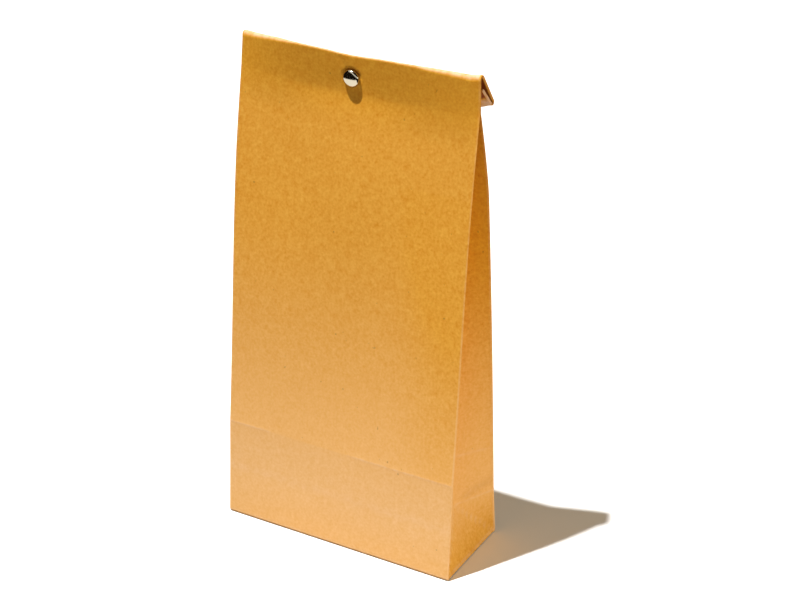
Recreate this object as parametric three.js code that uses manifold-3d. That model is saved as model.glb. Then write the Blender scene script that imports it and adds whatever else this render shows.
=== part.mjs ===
// Paper sample bag: a block-bottom kraft bag with side gussets, its mouth folded over twice to the rear and
// pinned by a round-head paper fastener. Millimetres, +Z up. The origin is the middle of the block bottom,
// +X runs across the front panel and the front panel faces -Y.
import * as THREE from "three";
import { mergeVertices } from "three/addons/utils/BufferGeometryUtils.js";
import Module from "manifold-3d";

// Bag, driving dimensions
const BAG_WIDTH = 100;
const BAG_DEPTH = 40;
const CLOSED_HEIGHT = 198;
const PLY = 0.15;

// Front and rear walls, each as the height of a crease or bend and how far the wall has come in there
const LOW_CREASE = { height: 20.5, front: 1.6, rear: 2.1 };
const FRONT_CREASE = { height: 41, setback: 3 };
const FRONT_BELLY = 1.5;
const FRONT_BELLY_EASE = 1.7;
const REAR_SHOULDER = { height: 152, setback: 12.1 };
const REAR_BELLY = 0.6;
const SHOULDER_BELLY = 0.35;

// Block bottom: the rear flap is pasted over the front flap, and both over the tucked-in ends
const BOTTOM_FLAP = 28;
const BASE_INSET = 0.4;

// Lip: the flattened top of the tube, four plies thick over the gussets and two between them, with their
// air. It starts at the pinch, is turned a little, left end to the rear, and leans forward where the
// fastener pulls it.
const PINCH_HEIGHT = { end: 185, middle: 182 };
const PINCH_Y = { end: 0.5, middle: -0.25 };
const PINCH_TWIST = 0.75;
const LIP_LEAN = {
  left: THREE.MathUtils.degToRad(3),
  right: THREE.MathUtils.degToRad(-2),
  pinned: THREE.MathUtils.degToRad(-4),
};
const STACK = { gusset: 0.8, plain: 0.4 };
const FOLDED_EDGE = 2 * PLY;

// Rolled mouth: the paper turns over a tight crest, slopes down to the rear and bends into the flap. The
// flap hangs spread from the lip at the bag's ends and flat to it at the fastener, and its last stretch is
// turned up inside. The crest is a little askew and dips at the fastener.
const FOLD_SKEW = 0.3;
const FOLD_DIP = 0.6;
const FOLD_DIP_REACH = 9;
const CREST_RADIUS = { end: 1.2, middle: 0.25 };
const CREST_TURN = THREE.MathUtils.degToRad(130);
const SLOPE_LENGTH = { end: 0.2, middle: 0.83 };
const SLOPE_RADIUS = 1;
const FLARE = THREE.MathUtils.degToRad(33);
const FLARE_EASE = 1.1;
const FLAP_LENGTH = 14;
const HEM_FOLD_RADIUS = { end: 0.8, middle: 0.35 };
const HEM_SPREAD = { end: THREE.MathUtils.degToRad(7), middle: 0 };
const HEM_LENGTH = 10.5;

// Fastener: a domed cap on the front, and a strip whose two legs go through the paper and spread behind the
// flap
const FASTENER_X = -1.45;
const FASTENER_HEIGHT = 188.5;
const CAP_RADIUS = 3.45;
const CAP_HEIGHT = 2.3;
const CAP_SHEET = 0.35;
const CAP_HOLE_RADIUS = 2.1;
const STRIP_SHEET = 0.45;
const STRIP_WIDTH = 3.4;
const STRIP_SLIT = 0.12;
const STRIP_HEAD_RADIUS = 2.55;
const LEG_LENGTH = { left: 12, right: 10.5 };
const LEG_BEND_RADIUS = 0.3;
const GRIP_MARGIN = 1;
const CLEARANCE = 0.3;

// Facets
const COLUMN_SPACING = 5;
const WALL_STEPS = 7;
const SHOULDER_STEPS = 6;
const CREST_STEPS = 6;
const SLOPE_STEPS = 3;
const HEM_FOLD_STEPS = 6;
const RUN_STEPS = 3;
const ROUND_SEGMENTS = 36;
const DOME_STEPS = 8;
const BEND_SEGMENTS = 6;
const TIP_SEGMENTS = 12;

const HALF_WIDTH = BAG_WIDTH / 2;
const HALF_DEPTH = BAG_DEPTH / 2;
const GUSSET_LEAF = BAG_DEPTH / 2;
const { clamp, lerp, smoothstep } = THREE.MathUtils;

const wasm = await Module();
wasm.setup();

// A closed solid from a geometry, without the slivers that appear where an outline's arc meets its line
function toSolid(geometry) {
  const bare = geometry.clone();
  bare.deleteAttribute("normal");
  bare.deleteAttribute("uv");
  const merged = mergeVertices(bare, 1e-4);
  const corners = merged.index.array;
  const triangles = [];
  for (let i = 0; i < corners.length; i += 3) {
    const triangle = [corners[i], corners[i + 1], corners[i + 2]];
    if (new Set(triangle).size === 3) triangles.push(...triangle);
  }
  return new wasm.Manifold(new wasm.Mesh({
    numProp: 3,
    vertProperties: Float32Array.from(merged.attributes.position.array),
    triVerts: Uint32Array.from(triangles),
  }));
}

function toGeometry(solid) {
  const { vertProperties, triVerts } = solid.getMesh();
  const geometry = new THREE.BufferGeometry();
  geometry.setAttribute("position", new THREE.BufferAttribute(vertProperties, 3));
  geometry.setIndex(new THREE.BufferAttribute(triVerts, 1));
  geometry.computeVertexNormals();
  return geometry;
}

// How firmly the fastener holds the flap down: 1 over the reach of its legs, and from there an ease into a
// straight fall to 0 at the ends of the bag
function gripAt(x) {
  const reach = LEG_LENGTH.left + GRIP_MARGIN;
  const away = clamp((Math.abs(x - FASTENER_X) - reach) / (HALF_WIDTH - reach), 0, 1);
  return 1 - away ** 2 * (2 - away);
}
const between = ({ end, middle }, x) => lerp(end, middle, gripAt(x));

// Half the thickness of the flattened tube, which is thinner between the gussets' inner folds
function halfStack(x) {
  const pastGusset = HALF_WIDTH - GUSSET_LEAF - Math.abs(x);
  return lerp(STACK.gusset, STACK.plain, smoothstep(pastGusset, 0, COLUMN_SPACING)) / 2;
}

// Middle of the lip at the pinch and its lean to the rear, both even over the reach of the fastener's legs
const pinchY = (x) => between(PINCH_Y, x) - PINCH_TWIST * (x / HALF_WIDTH) * (1 - gripAt(x));
function lipLean(x) {
  const straight = lerp(LIP_LEAN.left, LIP_LEAN.right, (x + HALF_WIDTH) / BAG_WIDTH);
  return lerp(straight, LIP_LEAN.pinned, gripAt(x));
}

// Outer face of the front wall: in to a low crease, nearly upright to the next, then leaning back to the
// pinch with a slight belly that is fullest above the middle
function frontY(x, z) {
  const low = -HALF_DEPTH + LOW_CREASE.front;
  const crease = -HALF_DEPTH + FRONT_CREASE.setback;
  if (z <= LOW_CREASE.height) return lerp(-HALF_DEPTH, low, z / LOW_CREASE.height);
  if (z <= FRONT_CREASE.height) {
    return lerp(low, crease, (z - LOW_CREASE.height) / (FRONT_CREASE.height - LOW_CREASE.height));
  }
  const rise = (z - FRONT_CREASE.height) / (between(PINCH_HEIGHT, x) - FRONT_CREASE.height);
  const belly = FRONT_BELLY * Math.sin(Math.PI * rise ** FRONT_BELLY_EASE);
  return lerp(crease, pinchY(x) - halfStack(x), rise) - belly;
}

// Outer face of the rear wall: in at a low crease, a long gentle lean with a slight belly, and in again to
// the pinch
function rearY(x, z) {
  const low = HALF_DEPTH - LOW_CREASE.rear;
  const shoulder = HALF_DEPTH - REAR_SHOULDER.setback;
  if (z <= LOW_CREASE.height) return lerp(HALF_DEPTH, low, z / LOW_CREASE.height);
  if (z <= REAR_SHOULDER.height) {
    const rise = (z - LOW_CREASE.height) / (REAR_SHOULDER.height - LOW_CREASE.height);
    return lerp(low, shoulder, rise) + REAR_BELLY * Math.sin(Math.PI * rise);
  }
  const rise = (z - REAR_SHOULDER.height) / (between(PINCH_HEIGHT, x) - REAR_SHOULDER.height);
  return lerp(shoulder, pinchY(x) + halfStack(x), rise) + SHOULDER_BELLY * Math.sin(Math.PI * rise);
}

// Middle line of the flattened tube from the pinch to the cut mouth, as points with a heading: 0 is
// straight up, a quarter turn is to the rear. It runs up the lip, round the crest, down the slope and round
// into the flap, down it, round the hem and up inside.
function rollLine(x) {
  const crestRadius = between(CREST_RADIUS, x);
  const pinch = between(PINCH_HEIGHT, x);
  const lean = lipLean(x);
  const askew = FOLD_SKEW * (0.5 - x / BAG_WIDTH);
  const dip = FOLD_DIP * Math.exp(-(((x - FASTENER_X) / FOLD_DIP_REACH) ** 2));
  const foldStart = CLOSED_HEIGHT - askew - dip - halfStack(x) - crestRadius * (1 - Math.sin(lean));
  const points = [{ y: pinchY(x), z: pinch, heading: lean }];
  const run = (length, steps) => {
    const { y, z, heading } = points.at(-1);
    for (let i = 1; i <= steps; i += 1) {
      const s = (length * i) / steps;
      points.push({ y: y + s * Math.sin(heading), z: z + s * Math.cos(heading), heading });
    }
  };
  const bend = (angle, radius, steps) => {
    const { y, z, heading } = points.at(-1);
    for (let i = 1; i <= steps; i += 1) {
      const turned = heading + (angle * i) / steps;
      points.push({
        y: y + radius * (Math.cos(heading) - Math.cos(turned)),
        z: z + radius * (Math.sin(turned) - Math.sin(heading)),
        heading: turned,
      });
    }
  };
  run((foldStart - pinch) / Math.cos(lean), RUN_STEPS);
  bend(CREST_TURN, crestRadius, CREST_STEPS);
  run(between(SLOPE_LENGTH, x), 1);
  bend(Math.PI - CREST_TURN - FLARE * (1 - gripAt(x)) ** FLARE_EASE, SLOPE_RADIUS, SLOPE_STEPS);
  run(FLAP_LENGTH, RUN_STEPS);
  bend(Math.PI - between(HEM_SPREAD, x), between(HEM_FOLD_RADIUS, x), HEM_FOLD_STEPS);
  run(HEM_LENGTH, RUN_STEPS);
  return points;
}

// Heights of the wall sections at a place across the bag, ending just below the pinch
function wallHeights(x) {
  const heights = [0, LOW_CREASE.height, FRONT_CREASE.height];
  for (let i = 1; i <= WALL_STEPS; i += 1) {
    heights.push(lerp(FRONT_CREASE.height, REAR_SHOULDER.height, i / WALL_STEPS));
  }
  for (let i = 1; i < SHOULDER_STEPS; i += 1) {
    heights.push(lerp(REAR_SHOULDER.height, between(PINCH_HEIGHT, x), i / SHOULDER_STEPS));
  }
  return heights;
}

// Every section of the tube at one place across the bag, from the bottom to the mouth: its front, middle
// and rear points in the plane of that place
function sectionsAt(x) {
  const walls = wallHeights(x).map((z) => {
    const front = frontY(x, z);
    const rear = rearY(x, z);
    return { front: [front, z], middle: [(front + rear) / 2, z], rear: [rear, z], half: (rear - front) / 2 };
  });
  const half = halfStack(x);
  const roll = rollLine(x).map(({ y, z, heading }) => {
    const outY = -Math.cos(heading) * half;
    const outZ = Math.sin(heading) * half;
    return { front: [y + outY, z + outZ], middle: [y, z], rear: [y - outY, z - outZ], half };
  });
  return [...walls, ...roll];
}

// The bag as one lofted solid. Each ring goes along the front wall, into one gusset, along the rear wall
// and into the other gusset. A gusset's two leaves keep their length, so its inner fold goes further in as
// the walls close.
function makeBag() {
  const columns = [];
  for (let x = -HALF_WIDTH; x <= HALF_WIDTH; x += COLUMN_SPACING) {
    columns.push({ x, sections: sectionsAt(x) });
  }
  const rowCount = columns[0].sections.length;
  const positions = [];
  const rings = [];

  const addPoint = (x, [y, z]) => {
    positions.push(x, y, z);
    return positions.length / 3 - 1;
  };
  const mixPoint = (a, b, share) => [lerp(a[0], b[0], share), lerp(a[1], b[1], share)];

  for (let row = 0; row < rowCount; row += 1) {
    const addGusset = (side) => {
      const edge = sectionsAt(side * HALF_WIDTH)[row];
      const depth = Math.sqrt(Math.max(GUSSET_LEAF ** 2 - edge.half ** 2, BASE_INSET ** 2));
      const foldX = side * (HALF_WIDTH - depth);
      const share = FOLDED_EDGE / edge.half;
      return {
        front: addPoint(side * HALF_WIDTH, mixPoint(edge.front, edge.middle, share)),
        fold: addPoint(foldX, sectionsAt(foldX)[row].middle),
        rear: addPoint(side * HALF_WIDTH, mixPoint(edge.rear, edge.middle, share)),
      };
    };
    rings.push({
      front: columns.map(({ x, sections }) => addPoint(x, sections[row].front)),
      right: addGusset(1),
      rear: columns.map(({ x, sections }) => addPoint(x, sections[row].rear)),
      left: addGusset(-1),
    });
  }

  const triangles = [];
  const around = ({ front, right, rear, left }) => [
    ...front, right.front, right.fold, right.rear, ...[...rear].reverse(), left.rear, left.fold, left.front,
  ];
  // Each leaf of a gusset bends along the line from its outer edge up to its inner fold
  for (let row = 0; row < rowCount - 1; row += 1) {
    const low = around(rings[row]);
    const high = around(rings[row + 1]);
    const inner = [rings[row].left.fold, rings[row].right.fold];
    low.forEach((corner, i) => {
      const next = (i + 1) % low.length;
      if (inner.includes(corner)) {
        triangles.push(corner, low[next], high[i], low[next], high[next], high[i]);
      } else {
        triangles.push(corner, low[next], high[next], corner, high[next], high[i]);
      }
    });
  }

  // A cap fans out from each gusset's inner fold over the columns of that gusset, and is a strip between
  // the two
  const addCap = ({ front, right, rear, left }, flip) => {
    const face = (a, b, c) => triangles.push(...(flip ? [a, c, b] : [a, b, c]));
    const last = columns.length - 1;
    const leafColumns = GUSSET_LEAF / COLUMN_SPACING;
    const inner = { left: leafColumns, right: last - leafColumns };
    for (let i = 0; i < last; i += 1) {
      if (i >= inner.right) {
        face(right.fold, front[i], front[i + 1]);
        face(right.fold, rear[i + 1], rear[i]);
      } else if (i < inner.left) {
        face(left.fold, front[i], front[i + 1]);
        face(left.fold, rear[i + 1], rear[i]);
      } else {
        face(front[i], front[i + 1], rear[i + 1]);
        face(front[i], rear[i + 1], rear[i]);
      }
    }
    face(right.fold, front[last], right.front);
    face(right.fold, right.rear, rear[last]);
    face(right.fold, rear[inner.right], front[inner.right]);
    face(left.fold, left.front, front[0]);
    face(left.fold, rear[0], left.rear);
    face(left.fold, front[inner.left], rear[inner.left]);
  };
  addCap(rings[0], true);
  addCap(rings.at(-1), false);

  const geometry = new THREE.BufferGeometry();
  geometry.setAttribute("position", new THREE.Float32BufferAttribute(positions, 3));
  geometry.setIndex(triangles);
  return geometry;
}

// What the block bottom is cut back by: one ply outside the rear flap, which is outermost, and one ply more
// over the tucked-in ends. The flaps' short sides run in at 45 degrees from the corners.
function makeBottomRelief() {
  const outlines = [
    { plies: 1, points: [
      [-BAG_WIDTH, -BAG_DEPTH], [BAG_WIDTH, -BAG_DEPTH], [BAG_WIDTH, HALF_DEPTH], [HALF_WIDTH, HALF_DEPTH],
      [HALF_WIDTH - BOTTOM_FLAP, HALF_DEPTH - BOTTOM_FLAP],
      [BOTTOM_FLAP - HALF_WIDTH, HALF_DEPTH - BOTTOM_FLAP],
      [-HALF_WIDTH, HALF_DEPTH], [-BAG_WIDTH, HALF_DEPTH],
    ] },
    ...[-1, 1].map((side) => ({ plies: 2, points: [
      [side * BAG_WIDTH, -HALF_DEPTH], [side * HALF_WIDTH, -HALF_DEPTH],
      [side * (HALF_WIDTH - HALF_DEPTH), 0],
      [side * HALF_WIDTH, HALF_DEPTH], [side * BAG_WIDTH, HALF_DEPTH],
    ] })),
  ];
  const pieces = outlines.map(({ plies, points }) => {
    const shape = new THREE.Shape(points.map(([x, y]) => new THREE.Vector2(x, y)));
    const piece = new THREE.ExtrudeGeometry(shape, { depth: 1 + plies * PLY, bevelEnabled: false });
    return toSolid(piece.translate(0, 0, -1));
  });
  return pieces.reduce((all, piece) => all.add(piece));
}

// Behind the fastener the paper is the lip, the hem and the flap, with air between them
const PINNED_STACK = 3 * STACK.plain + 2 * (2 * HEM_FOLD_RADIUS.middle - STACK.plain);

// Slit that the fastener's legs were pushed through, from the cap's side to past the flap
function makeSlit() {
  const width = STRIP_SLIT + 2 * STRIP_SHEET + 2 * CLEARANCE;
  const slit = new THREE.BoxGeometry(width, 3 * PINNED_STACK, STRIP_WIDTH + 2 * CLEARANCE);
  return slit.translate(0, PINNED_STACK / 2, 0);
}

// Cap: a spun dome whose rim is turned in under it, leaving a round hole for the strip
function makeCap() {
  const profile = [];
  const arc = (radius, height, from, to) => {
    for (let i = 0; i <= DOME_STEPS; i += 1) {
      const angle = (lerp(from, to, i / DOME_STEPS) * Math.PI) / 2;
      const r = i === (to ? DOME_STEPS : 0) ? 0 : radius * Math.cos(angle);
      profile.push(new THREE.Vector2(r, -CLEARANCE - CAP_SHEET - height * Math.sin(angle)));
    }
  };
  arc(CAP_RADIUS, CAP_HEIGHT - CAP_SHEET, 1, 0);
  profile.push(new THREE.Vector2(CAP_RADIUS - CAP_SHEET / 2, -CLEARANCE));
  profile.push(new THREE.Vector2(CAP_HOLE_RADIUS, -CLEARANCE));
  profile.push(new THREE.Vector2(CAP_HOLE_RADIUS, -CLEARANCE - CAP_SHEET));
  arc(CAP_RADIUS - CAP_SHEET, CAP_HEIGHT - 2 * CAP_SHEET, 0, 1);
  return new THREE.LatheGeometry(profile, ROUND_SEGMENTS);
}

// Strip: a round head held inside the cap's rim, and two legs side by side that bend apart behind the flap
function makeStrip() {
  const headTop = -CLEARANCE - CAP_SHEET - CLEARANCE / 2 - STRIP_SHEET;
  const outside = STRIP_SLIT / 2 + STRIP_SHEET;
  const seat = PINNED_STACK + CLEARANCE;
  const bendX = outside + LEG_BEND_RADIUS;
  const bendY = seat - LEG_BEND_RADIUS;
  const outline = new THREE.Shape();
  outline.moveTo(outside, headTop + STRIP_SHEET / 2);
  outline.lineTo(outside, bendY);
  outline.absarc(bendX, bendY, LEG_BEND_RADIUS, Math.PI, Math.PI / 2, true);
  outline.lineTo(LEG_LENGTH.right, seat);
  outline.lineTo(LEG_LENGTH.right, seat + STRIP_SHEET);
  outline.absarc(bendX, bendY, LEG_BEND_RADIUS + STRIP_SHEET, Math.PI / 2, Math.PI, false);
  outline.lineTo(STRIP_SLIT / 2, headTop + STRIP_SHEET);
  outline.lineTo(-STRIP_SLIT / 2, headTop + STRIP_SHEET);
  outline.absarc(-bendX, bendY, LEG_BEND_RADIUS + STRIP_SHEET, 0, Math.PI / 2, false);
  outline.lineTo(-LEG_LENGTH.left, seat + STRIP_SHEET);
  outline.lineTo(-LEG_LENGTH.left, seat);
  outline.absarc(-bendX, bendY, LEG_BEND_RADIUS, Math.PI / 2, 0, true);
  outline.lineTo(-outside, headTop + STRIP_SHEET / 2);
  const legs = new THREE.ExtrudeGeometry(outline, {
    depth: STRIP_WIDTH, bevelEnabled: false, curveSegments: BEND_SEGMENTS,
  });
  legs.translate(0, 0, -STRIP_WIDTH / 2);

  const tip = STRIP_WIDTH / 2;
  const plan = new THREE.Shape();
  plan.absarc(LEG_LENGTH.right - tip, 0, tip, -Math.PI / 2, Math.PI / 2, false);
  plan.absarc(tip - LEG_LENGTH.left, 0, tip, Math.PI / 2, (3 * Math.PI) / 2, false);
  const rounded = new THREE.ExtrudeGeometry(plan, {
    depth: 4 * PINNED_STACK, bevelEnabled: false, curveSegments: TIP_SEGMENTS,
  });
  rounded.rotateX(-Math.PI / 2).translate(0, -2 * PINNED_STACK, 0);

  const head = new THREE.CylinderGeometry(STRIP_HEAD_RADIUS, STRIP_HEAD_RADIUS, STRIP_SHEET, ROUND_SEGMENTS);
  head.translate(0, headTop + STRIP_SHEET / 2, 0);
  return toGeometry(toSolid(legs).intersect(toSolid(rounded)).add(toSolid(head)));
}

const kraftPaper = new THREE.MeshStandardMaterial({ color: 0xd79a52, roughness: 0.85, metalness: 0 });
const nickelPlate = new THREE.MeshStandardMaterial({ color: 0xc9c4ba, roughness: 0.18, metalness: 1 });

// The fastener stands square to the lip, with its own origin on the lip's front face
const fastener = new THREE.Group();
const lean = lipLean(FASTENER_X);
const abovePinch = FASTENER_HEIGHT - between(PINCH_HEIGHT, FASTENER_X);
const lipFace = pinchY(FASTENER_X) + abovePinch * Math.tan(lean) - halfStack(FASTENER_X) / Math.cos(lean);
fastener.position.set(FASTENER_X, lipFace, FASTENER_HEIGHT);
fastener.rotation.x = -lean;
fastener.updateMatrix();

const cap = new THREE.Mesh(makeCap(), nickelPlate);
cap.name = "fastener_cap";
const prongs = new THREE.Mesh(makeStrip(), nickelPlate);
prongs.name = "fastener_prongs";
fastener.add(cap, prongs);

const slit = makeSlit().applyMatrix4(fastener.matrix);
const bagSolid = toSolid(makeBag()).subtract(makeBottomRelief()).subtract(toSolid(slit));
const bag = new THREE.Mesh(toGeometry(bagSolid), kraftPaper);
bag.name = "paper_bag";

const paperSampleBag = new THREE.Group();
paperSampleBag.add(bag, fastener);

export default paperSampleBag;
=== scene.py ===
import bpy
import numpy as np
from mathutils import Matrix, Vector


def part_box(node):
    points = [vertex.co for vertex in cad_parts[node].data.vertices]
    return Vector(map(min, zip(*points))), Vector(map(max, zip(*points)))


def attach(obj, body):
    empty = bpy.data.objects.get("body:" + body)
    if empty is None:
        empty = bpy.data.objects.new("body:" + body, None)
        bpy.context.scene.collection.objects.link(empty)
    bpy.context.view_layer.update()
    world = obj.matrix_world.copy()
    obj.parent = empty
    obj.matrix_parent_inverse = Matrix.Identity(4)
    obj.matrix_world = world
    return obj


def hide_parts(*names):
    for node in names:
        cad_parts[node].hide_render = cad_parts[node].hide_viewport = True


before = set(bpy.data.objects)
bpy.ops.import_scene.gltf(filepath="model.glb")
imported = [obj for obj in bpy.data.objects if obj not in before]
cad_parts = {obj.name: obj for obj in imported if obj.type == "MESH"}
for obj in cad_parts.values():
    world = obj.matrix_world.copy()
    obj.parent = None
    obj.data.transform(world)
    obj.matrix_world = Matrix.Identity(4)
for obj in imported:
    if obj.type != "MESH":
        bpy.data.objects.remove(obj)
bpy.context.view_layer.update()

# Kraft paper bag
# One sheet of brown kraft paper, pasted into a tube with two gussets, closed below by a folded block
# bottom and above by rolling the flattened mouth over twice to the rear. Sizes are in millimetres.
MM = 0.001
_, bag_high = (np.array(corner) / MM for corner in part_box("paper_bag"))
HALF_WIDTH, HALF_DEPTH, CLOSED_HEIGHT = bag_high
GUSSET_LEAF = HALF_DEPTH
GUSSET_INNER_X = HALF_WIDTH - GUSSET_LEAF
PLY = 0.15
FOLDED_EDGE = 2 * PLY

# Heights of the creases left by the flat-folded bottom, how far each wall has come in there, the radius
# that softens the crease, and how far each wall bellies out. Last come the radius of the bottom fold
# and how far in from the walls the bottom is cut back.
LOW_CREASE, FRONT_LOW_IN, REAR_LOW_IN, LOW_ROUND = 20.5, 1.6, 2.1, 1.2
FRONT_CREASE, FRONT_CREASE_IN = 41.0, 3.0
FRONT_BELLY, FRONT_BELLY_EASE = 1.5, 1.7
REAR_SHOULDER, REAR_SHOULDER_IN, SHOULDER_ROUND = 152.0, 12.1, 2.5
REAR_BELLY, SHOULDER_BELLY = 0.6, 0.35
BOTTOM_FOLD_RADIUS, BASE_INSET = 0.75, 0.4

# The lip is the flattened top of the tube. Pairs are the value at the bag's ends and the value at the
# fastener.
PINCH_HEIGHT, PINCH_Y, PINCH_TWIST = (185.0, 182.0), (0.5, -0.25), 0.75
LIP_LEAN_LEFT, LIP_LEAN_RIGHT, LIP_LEAN_PINNED = np.radians((3, -2, -4))
STACK_AT_GUSSET, STACK_BETWEEN, STACK_STEP = 0.8, 0.4, 5.0
FASTENER_X, FASTENER_HEIGHT, FASTENER_REACH = -1.45, 188.5, 13.0

# Rolled mouth: how its top runs across the bag, then its crest, slope, flap and hem, in pairs as above
FOLD_SKEW, FOLD_DIP, FOLD_DIP_REACH = 0.3, 0.6, 9.0
FOLD_DROOP, DROOP_START, DROOP_FULL = 0.5, 30.0, 46.0
CORNER_LIFT, CORNER_LIFT_FROM = 0.7, 46.0
CREST_RADIUS, CREST_TURN = (1.2, 0.25), np.radians(130)
SLOPE_LENGTH, SLOPE_RADIUS = (0.2, 0.83), 1.0
FLARE, FLARE_EASE, FLAP_LENGTH = np.radians(33), 1.1, 14.0
HEM_FOLD_RADIUS, HEM_SPREAD, HEM_LENGTH = (0.8, 0.35), (np.radians(7), 0.0), 10.5


def smoothstep(value, start, stop):
    """0 before start, 1 after stop and 3t^2 - 2t^3 between them."""
    t = np.clip((value - start) / (stop - start), 0, 1)
    return t * t * (3 - 2 * t)


def bell(value, width):
    """1 at 0 and falling away on both sides: exp(-(value / width)^2)."""
    return np.exp(-((value / width) ** 2))


def grip(x):
    """How firmly the fastener holds the flap: 1 over its legs, then 1 - a^2 (2 - a) with a from 0 to 1
    at the bag's ends."""
    away = np.clip((abs(x - FASTENER_X) - FASTENER_REACH) / (HALF_WIDTH - FASTENER_REACH), 0, 1)
    return 1 - away**2 * (2 - away)


def between(pair, x):
    """Mix of the value at the ends and the value at the fastener, by the grip."""
    return pair[0] + (pair[1] - pair[0]) * grip(x)


def half_stack(x):
    """Half the thickness of the flattened tube: four plies over the gussets, and an ease to two plies
    between them."""
    thin = smoothstep(GUSSET_INNER_X - abs(x), 0, STACK_STEP)
    return (STACK_AT_GUSSET + (STACK_BETWEEN - STACK_AT_GUSSET) * thin) / 2


def pinch_y(x):
    """Middle of the tube at the pinch: further forward at the fastener, and turned a little beside it,
    left end to the rear."""
    return between(PINCH_Y, x) - PINCH_TWIST * x / HALF_WIDTH * (1 - grip(x))


def lip_lean(x):
    """Lean of the lip to the rear: a straight mix from the left end to the right one, and forward at
    the fastener."""
    straight = LIP_LEAN_LEFT + (LIP_LEAN_RIGHT - LIP_LEAN_LEFT) * (x + HALF_WIDTH) / (2 * HALF_WIDTH)
    return straight + (LIP_LEAN_PINNED - straight) * grip(x)


def fold_height(x):
    """Top of the rolled mouth: a straight fold, a little askew, that dips at the fastener as a bell,
    droops towards the left-hand end and turns up at the right-hand corner."""
    askew = FOLD_SKEW * (HALF_WIDTH - x) / (2 * HALF_WIDTH)
    dip = FOLD_DIP * bell(x - FASTENER_X, FOLD_DIP_REACH)
    droop = FOLD_DROOP * smoothstep(-x, DROOP_START, DROOP_FULL)
    lift = CORNER_LIFT * smoothstep(x, CORNER_LIFT_FROM, HALF_WIDTH)
    return CLOSED_HEIGHT - askew - dip - droop + lift


def softened(z, place, change, radius):
    """What rounds a kink of that change in slope: half the change times the gap between a hyperbola and
    its lines."""
    return change / 2 * (np.hypot(z - place, radius) - abs(z - place))


def front_y(x, z):
    """Front wall: straight in to the low crease, nearly upright to the next, then a straight lean to
    the pinch less a belly, sin(pi rise^ease), that is fullest above the middle."""
    pinch = between(PINCH_HEIGHT, x)
    rise = np.clip((z - FRONT_CREASE) / (pinch - FRONT_CREASE), 0, 1)
    closing = pinch_y(x) - half_stack(x) + HALF_DEPTH - FRONT_CREASE_IN
    low = np.interp(z, [0, LOW_CREASE, FRONT_CREASE], [0, FRONT_LOW_IN, FRONT_CREASE_IN])
    belly = FRONT_BELLY * np.sin(np.pi * rise**FRONT_BELLY_EASE)
    kink = (FRONT_CREASE_IN - FRONT_LOW_IN) / (FRONT_CREASE - LOW_CREASE) - FRONT_LOW_IN / LOW_CREASE
    return low + closing * rise - HALF_DEPTH - belly + softened(z, LOW_CREASE, kink, LOW_ROUND)


def rear_y(x, z):
    """Rear wall: in to a low crease, a long lean plus a half sine of belly up to the shoulder, then in
    to the pinch with a smaller half sine."""
    pinch = between(PINCH_HEIGHT, x)
    rise = np.clip((z - LOW_CREASE) / (REAR_SHOULDER - LOW_CREASE), 0, 1)
    last = np.clip((z - REAR_SHOULDER) / (pinch - REAR_SHOULDER), 0, 1)
    low = REAR_LOW_IN * np.clip(z / LOW_CREASE, 0, 1)
    closing = HALF_DEPTH - REAR_SHOULDER_IN - pinch_y(x) - half_stack(x)
    inward = low + (REAR_SHOULDER_IN - REAR_LOW_IN) * rise + closing * last
    belly = REAR_BELLY * np.sin(np.pi * rise) + SHOULDER_BELLY * np.sin(np.pi * last)
    lean = (REAR_SHOULDER_IN - REAR_LOW_IN) / (REAR_SHOULDER - LOW_CREASE)
    kink = lean - closing / (pinch - REAR_SHOULDER)
    return HALF_DEPTH - inward + belly + softened(z, REAR_SHOULDER, kink, SHOULDER_ROUND)


def run(at, length):
    """Straight on by a length. A place is y, z and a heading: 0 is up, a quarter turn is to the
    rear."""
    y, z, heading = at
    return y + length * np.sin(heading), z + length * np.cos(heading), heading + 0 * y


def bend(at, angle, radius):
    """Round an arc of that angle and radius."""
    y, z, heading = at
    turned = heading + angle
    y_to = y + radius * (np.cos(heading) - np.cos(turned))
    z_to = z + radius * (np.sin(turned) - np.sin(heading))
    return y_to, z_to, turned


def roll_line(x, stage, t):
    """Middle of the flattened tube at share t of a stage: up the lip, round the crest, down a short
    slope to the rear and round into the flap, down it, round the hem and up inside."""
    pinch = between(PINCH_HEIGHT, x)
    radius = between(CREST_RADIUS, x)
    lean = lip_lean(x)
    fold_start = fold_height(x) - half_stack(x) - radius * (1 - np.sin(lean))
    into_flap = np.pi - CREST_TURN - FLARE * (1 - grip(x)) ** FLARE_EASE
    stages = [
        lambda at, t: run(at, t * (fold_start - pinch) / np.cos(lean)),
        lambda at, t: bend(at, t * CREST_TURN, radius),
        lambda at, t: run(at, t * between(SLOPE_LENGTH, x)),
        lambda at, t: bend(at, t * into_flap, SLOPE_RADIUS),
        lambda at, t: run(at, t * FLAP_LENGTH),
        lambda at, t: bend(at, t * (np.pi - between(HEM_SPREAD, x)), between(HEM_FOLD_RADIUS, x)),
        lambda at, t: run(at, t * HEM_LENGTH),
    ]
    at = (pinch_y(x), pinch, lean)
    for earlier in stages[:stage]:
        at = earlier(at, 1)
    return stages[stage](at, t)


SPACING_SAMPLES = 4001


def graded(start, stop, coarse, fine, marks, reach, number=None):
    """Positions from start to stop, of that number if it is given, whose spacing falls from coarse to
    fine within reach of each mark, as a bell."""
    place = np.linspace(start, stop, SPACING_SAMPLES)
    spacing = coarse + (fine - coarse) * bell(place[:, None] - np.asarray(marks), reach).max(1)
    count = np.concatenate([[0], np.cumsum(np.diff(place) / (spacing[1:] + spacing[:-1]) * 2)])
    return np.interp(np.linspace(0, count[-1], number or int(np.ceil(count[-1])) + 1), count, place)


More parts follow.
